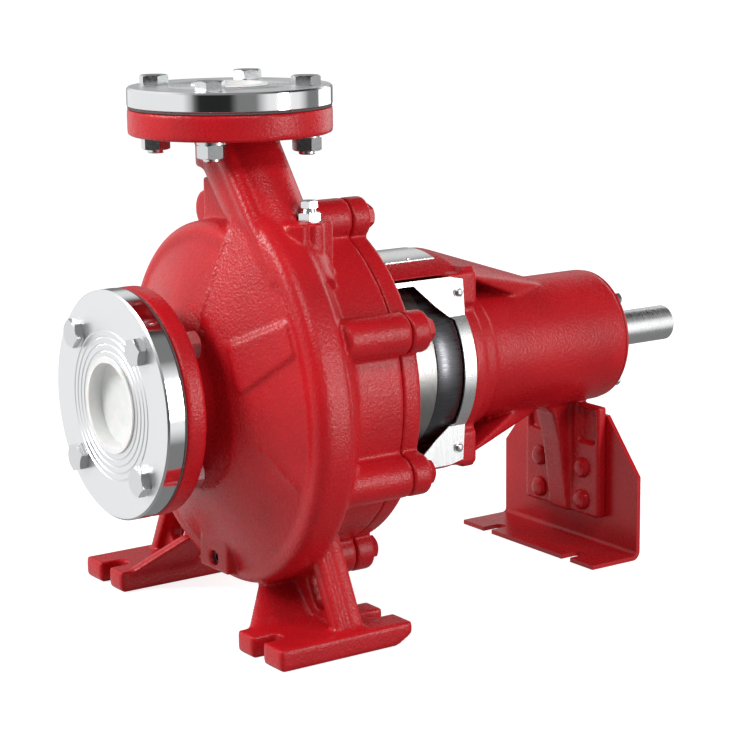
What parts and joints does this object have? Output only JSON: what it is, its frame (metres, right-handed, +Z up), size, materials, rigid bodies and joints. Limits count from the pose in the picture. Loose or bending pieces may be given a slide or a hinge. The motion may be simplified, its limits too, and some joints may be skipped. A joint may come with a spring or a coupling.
{
  "type": "end-suction centrifugal water pump",
  "caption": "Bare-shaft end-suction volute pump on cast feet, with flanged suction and discharge, bearing bracket, window guards and support foot.",
  "frame": {"origin": "centre of the four slots of the cast feet, on the base plane, below the discharge centreline", "axes": "+X along the shaft from the suction to the drive end, +Y to the far side of the picture, +Z up through the discharge flange"},
  "size_m": [0.595, 0.329, 0.445],
  "materials": {
    "red_paint": "gloss",
    "chrome_plate": "polished",
    "stainless": "brushed",
    "zinc_steel": "satin",
    "ground_steel": "ground",
    "dark_steel": "blackened",
    "machined_iron": "machined",
    "bronze": "cast",
    "white_plastic": "matte",
    "gasket_fibre": "matte",
    "seal_rubber": "matte",
    "seal_ceramic": "lapped"
  },
  "bodies": {
    "pump_frame": {"volute_casing": "red_paint", "casing_wear_ring": "bronze", "cover_wear_ring": "bronze", "casing_gasket": "gasket_fibre", "casing_cover": "machined_iron", "bearing_bracket": "red_paint", "casing_screws": "red_paint", "guard_near": "stainless", "guard_far": "stainless", "guard_screws": "zinc_steel", "name_plate": "stainless", "name_plate_rivets": "zinc_steel", "support_foot": "red_paint", "support_foot_bolts": "red_paint", "support_foot_nuts": "red_paint", "suction_flange": "chrome_plate", "suction_gasket": "gasket_fibre", "suction_bolts": "zinc_steel", "suction_washers": "zinc_steel", "suction_nuts": "zinc_steel", "discharge_flange": "chrome_plate", "discharge_gasket": "gasket_fibre", "discharge_bolts": "zinc_steel", "discharge_washers": "zinc_steel", "discharge_nuts": "zinc_steel", "vent_body": "chrome_plate", "drain_plug": "dark_steel", "seal_seat": "seal_ceramic", "front_outer_ring": "ground_steel", "rear_outer_ring": "ground_steel", "front_bearing_cover": "stainless", "front_cover_screws": "zinc_steel", "front_lip_seal": "seal_rubber", "rear_bearing_cover": "red_paint", "rear_cover_screws": "zinc_steel", "rear_lip_seal": "seal_rubber"},
    "rotor": {"shaft": "ground_steel", "impeller": "bronze", "impeller_key": "dark_steel", "impeller_washer": "zinc_steel", "impeller_nut": "zinc_steel", "shaft_sleeve": "ground_steel", "seal_head": "zinc_steel", "seal_spring": "stainless", "shaft_deflector": "seal_rubber", "front_inner_ring": "ground_steel", "rear_inner_ring": "ground_steel", "bearing_lock_ring": "dark_steel"},
    "front_cage_set": {"front_balls": "chrome_plate", "front_cage": "bronze"},
    "rear_cage_set": {"rear_balls": "chrome_plate", "rear_cage": "bronze"},
    "suction_plug": {"suction_cap": "white_plastic"},
    "discharge_plug": {"discharge_cap": "white_plastic"},
    "bleed": {"bleed_screw": "chrome_plate"}
  },
  "joints": [
    {"name": "rotor_spin", "type": "hinge", "parent": "pump_frame", "child": "rotor", "pos_m": [0, 0, 0.19], "axis": [1, 0, 0], "continuous": true},
    {"name": "front_cage_spin", "type": "hinge", "parent": "pump_frame", "child": "front_cage_set", "pos_m": [0.2175, 0, 0.19], "axis": [1, 0, 0], "continuous": true},
    {"name": "rear_cage_spin", "type": "hinge", "parent": "pump_frame", "child": "rear_cage_set", "pos_m": [0.3515, 0, 0.19], "axis": [1, 0, 0], "continuous": true},
    {"name": "bleed_turn", "type": "hinge", "parent": "pump_frame", "child": "bleed", "pos_m": [0.014, -0.092, 0.336], "axis": [0, 0, 1], "range_deg": [0, 360]},
    {"name": "suction_plug_pull", "type": "slide", "parent": "pump_frame", "child": "suction_plug", "axis": [-1, 0, 0], "range_m": [0, 0.04]},
    {"name": "discharge_plug_pull", "type": "slide", "parent": "pump_frame", "child": "discharge_plug", "axis": [0, 0, 1], "range_m": [0, 0.04]}
  ],
  "couplings": [
    {"joint": "front_cage_spin", "follows": "rotor_spin", "ratio": 0.38462},
    {"joint": "rear_cage_spin", "follows": "rotor_spin", "ratio": 0.38462}
  ]
}
